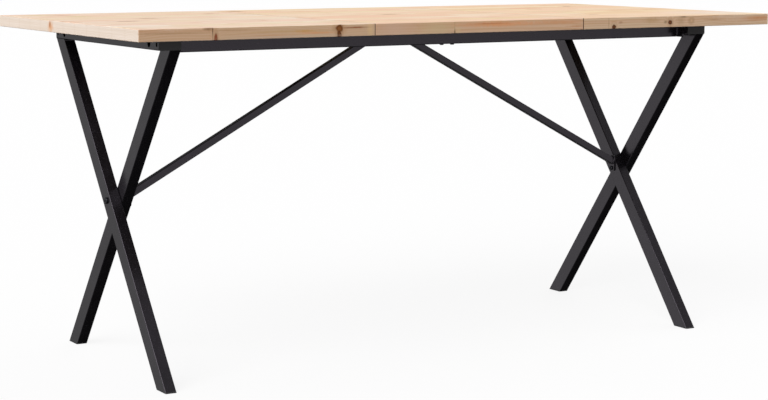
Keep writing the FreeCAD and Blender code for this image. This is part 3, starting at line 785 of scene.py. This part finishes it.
@dataclass
class TableTop:
    """Three glued pine panels with dowels between them and steel plates under their seams."""

    length: float = TOP_LENGTH
    half_width: float = TOP_HALF_WIDTH
    top: float = 0.755
    thickness: float = 0.025
    # Where the front row of staves is jointed. The right panel's joints lie past both its ends.
    left_joint: float = -0.6402
    centre_joint: float = -0.0706
    right_joint: float = 0.822

    def panels(self) -> dict[str, EdgeGluedPine]:
        """Lay out each panel's own run of wood.

        Returns:
            Each panel's finish by node name.
        """
        left_end, front, back = -self.length / 2, -self.half_width, self.half_width
        top, bottom = self.top, self.top - self.thickness
        left = (
            # front edge: the butt joint's dark shade, a split red knot, orange streaks and a full-height knot
            Streak((-0.649, front, top - 0.002), (0.013, 0.004, 0.0036), "#8E6544", 0.8),
            Streak((self.left_joint, front, top - 0.007), (0.0016, 0.006, 0.008), "#6B4630", 0.95),
            Knot((-0.6333, front, bottom + 0.001), (0.0038, 0.012, 0.014), "#8E4834", 0.95),
            Streak((-0.6, front, top - 0.006), (0.06, 0.01, 0.0016), "#BF9168", 0.6),
            Streak((-0.73, front, top - 0.009), (0.09, 0.01, 0.0026), "#C59C76", 0.7),
            Streak((-0.48, front, top - 0.011), (0.11, 0.01, 0.0034), "#D4AE7E", 0.6),
            Streak((-0.405, front, bottom + 0.0095), (0.052, 0.01, 0.0024), "#E8A876", 0.75),
            Streak((-0.5, front, bottom + 0.006), (0.06, 0.01, 0.002), "#D9A070", 0.5),
            Knot((-0.3518, front, top - 0.008), (0.0088, 0.014, 0.008), "#744322", 1.0),
            Knot((-0.3522, front, bottom + 0.004), (0.0052, 0.012, 0.009), "#683A20", 1.0),
            Streak((-0.3165, front, top - 0.007), (0.042, 0.008, 0.0021), "#9E5A38", 0.9),
            Streak((-0.279, front, top - 0.0125), (0.008, 0.012, 0.02), "#EFCF9A", 0.5),
            Streak((-0.435, front, top - 0.0115), (0.026, 0.01, 0.0026), "#DDA55E", 0.65),
            Streak((-0.47, front, bottom + 0.003), (0.15, 0.01, 0.003), "#D8C2B0", 0.5),
            # top face: brown knots drawn out along the grain, pink and straw patches
            Knot((-0.6675, -0.0407, top), (0.025, 0.0085, 0.02), "#9C6A45", 0.95),
            Knot((-0.5696, 0.0717, top), (0.024, 0.008, 0.02), "#AC7850", 0.85),
            Streak((-0.6837, 0.308, top), (0.034, 0.013, 0.02), "#C98268", 0.85),
            Streak((-0.7225, 0.346, top), (0.045, 0.026, 0.02), "#DCCF9C", 0.7),
            Streak((-0.6737, 0.236, top), (0.036, 0.032, 0.02), "#DED6A6", 0.7),
            Streak((-0.735, -0.3, top), (0.07, 0.09, 0.02), "#F8ECE2", 0.5),
            Streak((-0.45, 0.08, top), (0.1, 0.03, 0.02), "#F0BFA4", 0.5),
            Streak((-0.4695, -0.0612, top), (0.03, 0.0034, 0.01), "#A87650", 0.75),
            Knot((-0.345, 0.235, top), (0.013, 0.007, 0.02), "#A06A45", 0.8),
            # left end: an orange branch that runs out through the end grain
            Streak((left_end, 0.0738, top - 0.014), (0.03, 0.017, 0.013), "#F2BE94", 0.95),
            Streak((left_end, 0.0768, top - 0.008), (0.03, 0.0062, 0.008), "#C07A46", 0.95),
            # back edge
            Knot((-0.56, back, top - 0.012), (0.009, 0.012, 0.009), "#8A4E2C", 0.95),
            Streak((-0.42, back, bottom + 0.006), (0.05, 0.01, 0.0024), "#DF9A66", 0.6),
        )
        centre = (
            # front edge: wide orange and pink streaks beside the butt joint
            Streak((-0.115, front, top - 0.0125), (0.055, 0.012, 0.02), "#DCCB9E", 0.45),
            Streak((self.centre_joint, front, bottom + 0.003), (0.0018, 0.008, 0.007), "#6E5232", 0.95),
            Streak((-0.22, front, top - 0.0125), (0.055, 0.012, 0.03), "#E2C0A8", 0.6),
            Streak((-0.062, front, bottom + 0.004), (0.007, 0.01, 0.009), "#E2C998", 0.5),
            Streak((0.045, front, top - 0.0075), (0.11, 0.012, 0.0062), "#EDAA7A", 0.95),
            Streak((0.02, front, top - 0.0062), (0.06, 0.01, 0.0016), "#C98052", 0.7),
            Streak((0.205, front, top - 0.007), (0.08, 0.012, 0.005), "#E2A070", 0.6),
            Streak((0.246, front, bottom + 0.008), (0.026, 0.01, 0.002), "#D18F5F", 0.6),
            # top face and back edge
            Knot((-0.2324, 0.33, top), (0.02, 0.01, 0.02), "#94694A", 0.95),
            Streak((-0.243, -0.0808, top), (0.028, 0.0036, 0.01), "#A87650", 0.75),
            Knot((0.0039, -0.0006, top), (0.02, 0.007, 0.02), "#A8734C", 0.85),
            Streak((0.1163, -0.2568, top), (0.04, 0.0042, 0.01), "#AC7E56", 0.75),
            Streak((0.1387, 0.2604, top), (0.07, 0.02, 0.02), "#EFB79C", 0.6),
            Streak((-0.14, -0.17, top), (0.09, 0.024, 0.02), "#F1C9A8", 0.5),
            Knot((0.1, back, top - 0.012), (0.008, 0.012, 0.008), "#8A4E2C", 0.95),
        )
        right = (
            # front edge: two small dark knots, a cluster of brown shades and an orange streak near the end
            Streak((0.3365, front, top - 0.0125), (0.0014, 0.006, 0.022), "#AE835F", 0.6),
            Knot((0.351, front, bottom + 0.0032), (0.005, 0.012, 0.0052), "#4E2A1C", 1.0),
            Streak((0.37, front, top - 0.0116), (0.006, 0.01, 0.0034), "#B07E60", 0.6),
            Knot((0.5095, front, top - 0.014), (0.0054, 0.012, 0.0056), "#54261A", 1.0),
            Streak((0.456, front, top - 0.009), (0.026, 0.01, 0.007), "#CDA67C", 0.7),
            Streak((0.496, front, top - 0.013), (0.005, 0.01, 0.004), "#8A6446", 0.7),
            Streak((0.5473, front, top - 0.0025), (0.013, 0.005, 0.0016), "#6E4A30", 0.85),
            Streak((0.54, front, top - 0.011), (0.013, 0.01, 0.01), "#BE9470", 0.5),
            Streak((0.5706, front, top - 0.0115), (0.01, 0.01, 0.0084), "#B4845E", 0.7),
            Streak((0.571, front, top - 0.0115), (0.005, 0.01, 0.0045), "#E9C6A0", 0.7),
            Streak((0.64, front, top - 0.01), (0.03, 0.01, 0.0018), "#B98A66", 0.6),
            Streak((0.768, front, top - 0.0085), (0.052, 0.012, 0.005), "#D6925E", 0.85),
            Streak((0.76, front, top - 0.0145), (0.042, 0.01, 0.0015), "#C47F52", 0.6),
            # top face and back edge
            Streak((0.4681, 0.143, top), (0.07, 0.02, 0.02), "#EFAC92", 0.75),
            Streak((0.72, -0.28, top), (0.12, 0.14, 0.02), "#F3E4D8", 0.6),
            Streak((0.6405, -0.0508, top), (0.09, 0.014, 0.02), "#F2BC98", 0.5),
            Knot((0.42, -0.23, top), (0.013, 0.0055, 0.02), "#A8734B", 0.8),
            Knot((0.66, 0.21, top), (0.012, 0.0065, 0.02), "#9C6540", 0.85),
            Knot((0.61, back, top - 0.012), (0.009, 0.012, 0.009), "#7C4426", 0.95),
        )
        return {
            "panel_left": EdgeGluedPine(
                "pine_edge_glued_left", seed=1.0, front_joint=self.left_joint, butt_strength=0.5,
                marks=left, cream="#F9EEE0", pink="#F9D6C2", honey="#F4E4C4", edge_tint="#FAE9DD"),
            "panel_centre": EdgeGluedPine(
                "pine_edge_glued_centre", seed=5.0, front_joint=self.centre_joint, butt_strength=0.3,
                marks=centre, cream="#FBEAD4", pink="#F9D4BB", honey="#F5E1B7", edge_tint="#FFF5F0"),
            "panel_right": EdgeGluedPine(
                "pine_edge_glued_right", seed=9.0, front_joint=self.right_joint, butt_strength=0.8,
                marks=right, cream="#FDEBD1", pink="#FBD6BA", honey="#F8E4B6", edge_tint="#FFFBFA"),
        }

    def dress(self, paint: Paint) -> None:
        """Give the top its finishes.

        Args:
            paint: the finishes.
        """
        for name, pine in self.panels().items():
            paint.dress([name], pine)
        plates = [name for name in paint.nodes if name.startswith("seam_plate_")]
        paint.dress(["panel_dowels"], Finish.DOWEL)
        paint.dress([*sorted(plates), "top_screws"], Finish.ZINC_PLATE)


@dataclass
class EndFrames:
    """The two X frames: legs, crossbars, plastic caps, welds and the bolts through the crossings."""

    sides: tuple[str, ...] = ("left", "right")
    legs: tuple[str, ...] = ("leg_outer", "leg_inner")
    caps: tuple[str, ...] = ("foot_outer_cap", "foot_inner_cap", "crossbar_cap_front", "crossbar_cap_back")
    bead: WeldBead = field(default_factory=WeldBead)
    bead_inset: float = MM

    def dress(self, paint: Paint) -> None:
        """Give both frames their finishes.

        Args:
            paint: the finishes.
        """
        for side in self.sides:
            paint.dress(["%s_%s" % (side, part) for part in (*self.legs, "crossbar")], Finish.POWDER_COAT)
            paint.dress(["%s_%s" % (side, part) for part in self.caps], Finish.PLASTIC)
        paint.dress(["cross_bolts"], Finish.OXIDE)
        paint.dress(["cross_nuts"], Finish.ZINC_PLATE)

    def build(self, paint: Paint) -> None:
        """Lay rippled weld beads under both crossbars in place of the plain ones.

        Args:
            paint: the finishes.
        """
        for side in self.sides:
            weld_low, weld_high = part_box("%s_frame_welds" % side)
            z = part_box("%s_crossbar" % side)[0].z - self.bead.radius
            boxes = {leg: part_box("%s_%s" % (side, leg)) for leg in self.legs}
            low, high = boxes["leg_inner"]
            length = high.x - low.x - 2 * self.bead_inset
            places = []
            for leg, (low, _) in boxes.items():
                leans_back = (side == "left") == (leg == "leg_outer")
                y = weld_high.y - self.bead.radius if leans_back else weld_low.y + self.bead.radius
                places.append((Vector((low.x + self.bead_inset, y, z)), ALONG))
            piece = self.bead.lay("%s_frame_bead" % side, length, places, paint)
            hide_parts("%s_frame_welds" % side)


@dataclass
class LongRails:
    """The two long rails, each in two lengths with a sleeve, and what bolts them to the frames."""

    sides: tuple[str, ...] = ("front", "back")
    coated: tuple[str, ...] = ("rail_left", "rail_right", "rail_end_plate_left", "rail_end_plate_right")
    bead: WeldBead = field(default_factory=WeldBead)
    bead_inset: float = 2 * MM

    def dress(self, paint: Paint) -> None:
        """Give the rails their finishes.

        Args:
            paint: the finishes.
        """
        for side in self.sides:
            paint.dress(["%s_%s" % (side, part) for part in self.coated], Finish.POWDER_COAT)
            paint.dress(["%s_rail_sleeve" % side], Finish.ZINC_PLATE)
        paint.dress(["rail_bolts", "rail_sleeve_screws"], Finish.OXIDE)
        paint.dress(["rail_washers", "rail_end_nuts", "rail_sleeve_nuts"], Finish.ZINC_PLATE)

    def build(self, paint: Paint) -> None:
        """Lay weld beads up both sides of each rail end, where it meets its end plate.

        Args:
            paint: the finishes.
        """
        for side in self.sides:
            low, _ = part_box("%s_rail_left" % side)
            _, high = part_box("%s_rail_right" % side)
            z = low.z + self.bead_inset
            places = [(Vector((x, y, z)), UP) for x in (low.x, high.x) for y in (low.y, high.y)]
            self.bead.lay("%s_rail_bead" % side, high.z - low.z - 2 * self.bead_inset, places, paint)


@dataclass
class MiddleBracing:
    """The member between the rails and the two diagonal braces."""

    coated: tuple[str, ...] = (
        "centre_member", "centre_member_plate_front", "centre_member_plate_back",
        "left_brace", "right_brace", "left_brace_foot_plate", "right_brace_foot_plate",
        "left_brace_head_plate", "right_brace_head_plate",
    )
    bead: WeldBead = field(default_factory=lambda: WeldBead(radius=1.8 * MM))
    bead_length: float = 14 * MM
    # A brace leans, so its foot is taller than the tube is.
    foot_height: float = 18.2 * MM

    def dress(self, paint: Paint) -> None:
        """Give the bracing its finishes.

        Args:
            paint: the finishes.
        """
        paint.dress(self.coated, Finish.POWDER_COAT)
        paint.dress(["centre_member_bolts", "brace_foot_bolts", "brace_head_bolts"], Finish.OXIDE)
        paint.dress(["centre_member_nuts", "brace_foot_nuts", "brace_head_nuts"], Finish.ZINC_PLATE)

    def build(self, paint: Paint) -> None:
        """Lay weld beads along the sides and the top of each brace's foot.

        Args:
            paint: the finishes.
        """
        for side in ("left", "right"):
            low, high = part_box("%s_brace" % side)
            x = low.x if side == "left" else high.x
            z = low.z + (self.foot_height - self.bead_length) / 2
            places = [(Vector((x, y, z)), UP) for y in (low.y, high.y)]
            places.append((Vector((x, -self.bead_length / 2, low.z + self.foot_height)), ACROSS))
            self.bead.lay("%s_brace_bead" % side, self.bead_length, places, paint)


# ---------------- studio


@dataclass
class Studio:
    """White paper floor, soft light from the upper left and the camera.

    Lamps and world together light the top at about 1.05 times its written colour, the left end at 0.9 and the
    front edge, in shade, at 0.63.
    """

    floor_size: float = 400.0
    floor_pale: str = "#F6F5F6"
    floor_dim: str = "#606060"
    floor_glow: float = 0.87
    ambient: float = 0.42
    # In reflections the room is white on the left and in front, grey above, and dark on the right, behind and
    # below.
    lit_towards: tuple[float, float, float] = (-0.80, -0.60, 0.25)
    lit_level: float = 1.07
    unlit_level: float = 0.12
    sky_level: float = 0.52
    below_level: float = 0.22
    # Where those levels change on a sphere of radius 1 round the table: by height, and towards the lit side.
    below_ramp: tuple[float, float] = (-0.62, -0.32)
    sky_ramp: tuple[float, float] = (0.2, 0.6)
    side_ramp: tuple[float, float] = (-0.5, 0.08)
    key_towards: tuple[float, float, float] = (-0.78, -0.44, 0.63)
    key_strength: float = 2.8
    fill_towards: tuple[float, float, float] = (0.70, 0.30, 0.60)
    fill_strength: float = 0.6
    softness: float = 50.0
    camera_place: tuple[float, float, float] = (-2.31751, -3.91240, 0.93669)
    camera_tilt: float = 90.0 - 6.5489
    camera_turn: float = -29.5446
    lens: float = 91.626
    shift: tuple[float, float] = (0.0441, -0.0521)

    def build(self) -> None:
        """Make the floor, the world, the lamps and the camera."""
        self.floor()
        self.world()
        self.sun("key", self.key_towards, self.key_strength)
        self.sun("fill", self.fill_towards, self.fill_strength)
        self.camera()

    def floor(self) -> None:
        """Lay the floor: white to the eye, with a faint shadow, and clear from below and in gloss."""
        deselect()
        bpy.ops.mesh.primitive_plane_add(size=self.floor_size)
        floor = bpy.context.active_object
        floor.name = "floor"
        material, sheet = new_material("studio_paper_matt")
        rays = sheet.add("LightPath")
        seen = sheet.add("Math", [rays["Is Camera Ray"], rays["Is Transmission Ray"]], operation="MAXIMUM")[0]
        tint = sheet.add("Mix", {0: seen, 6: linear(self.floor_dim), 7: linear(self.floor_pale)},
                         data_type="RGBA")[2]
        matt = sheet.add("BsdfDiffuse", [tint])[0]
        light = sheet.add("Emission", {"Strength": 1.0})[0]
        share = sheet.add("Math", [seen, self.floor_glow], operation="MULTIPLY")[0]
        paper = sheet.add("MixShader", [share, matt, light])[0]
        below = sheet.add("NewGeometry")["Backfacing"]
        hidden = sheet.add("Math", [below, rays["Is Glossy Ray"]], operation="MAXIMUM")[0]
        clear = sheet.add("BsdfTransparent")[0]
        sheet.add("OutputMaterial", [sheet.add("MixShader", [hidden, paper, clear])[0]])
        floor.data.materials.append(material)

    def world(self) -> None:
        """Make the world white to the eye, a studio in reflections and a plain grey light otherwise."""
        world = bpy.data.worlds.new("studio")
        bpy.context.scene.world = world
        world.use_nodes = True
        sheet = NodeSheet(world.node_tree, "Generated")
        rays = sheet.add("LightPath")
        height = sheet.add("SeparateXYZ", [sheet.place])[2]
        above = sheet.add("MapRange", [height, *self.below_ramp, self.below_level, 1.0],
                          interpolation_type="SMOOTHSTEP")[0]
        sky = sheet.add("MapRange", [height, *self.sky_ramp, 1.0, self.sky_level],
                        interpolation_type="SMOOTHSTEP")[0]
        side = sheet.add("VectorMath", [sheet.place, self.lit_towards], operation="DOT_PRODUCT")["Value"]
        side = sheet.add("MapRange", [side, *self.side_ramp, self.unlit_level, self.lit_level],
                         interpolation_type="SMOOTHSTEP")[0]
        gloss = sheet.add("Math", [above, side], operation="MULTIPLY")[0]
        gloss = sheet.add("Math", [gloss, sky], operation="MULTIPLY")[0]
        seen = sheet.add("Math", [rays["Is Camera Ray"], rays["Is Transmission Ray"]], operation="MAXIMUM")[0]
        strength = sheet.add("Mix", {0: rays["Is Glossy Ray"], 2: self.ambient, 3: gloss},
                             data_type="FLOAT")[0]
        strength = sheet.add("Mix", {0: seen, 2: strength, 3: 1.0}, data_type="FLOAT")[0]
        light = sheet.add("Background", {"Color": linear("#FFFFFF"), "Strength": strength})[0]
        sheet.add("OutputWorld", [light])

    def sun(self, name: str, towards: tuple[float, float, float], strength: float) -> None:
        """Hang a soft, distant lamp.

        Args:
            name: the lamp's name.
            towards: the direction from the table to the lamp.
            strength: its strength in watts per square metre.
        """
        data = bpy.data.lights.new(name, "SUN")
        data.energy = strength
        data.angle = math.radians(self.softness)
        lamp = bpy.data.objects.new(name, data)
        lamp.rotation_mode = "QUATERNION"
        lamp.rotation_quaternion = Vector(towards).to_track_quat("Z", "Y")
        bpy.context.scene.collection.objects.link(lamp)

    def camera(self) -> None:
        """Set up the camera a little above the top, to the left of the table's front."""
        data = bpy.data.cameras.new("camera")
        data.lens = self.lens
        data.shift_x, data.shift_y = self.shift
        camera = bpy.data.objects.new("camera", data)
        camera.location = self.camera_place
        camera.rotation_euler = (math.radians(self.camera_tilt), 0.0, math.radians(self.camera_turn))
        bpy.context.scene.collection.objects.link(camera)
        bpy.context.scene.camera = camera


def main() -> None:
    """Dress and build the sub-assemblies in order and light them."""
    logging.basicConfig(level=logging.INFO, format="%(message)s")
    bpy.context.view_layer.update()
    deselect()
    bpy.context.scene.view_settings.view_transform = "Standard"
    paint = Paint(frame["nodes"])
    frame_parts = (EndFrames(), LongRails(), MiddleBracing())
    for part in (TableTop(), *frame_parts):
        part.dress(paint)
    for part in frame_parts:
        part.build(paint)
    Studio().build()
    bpy.context.view_layer.update()


if __name__ == "__main__":
    main()
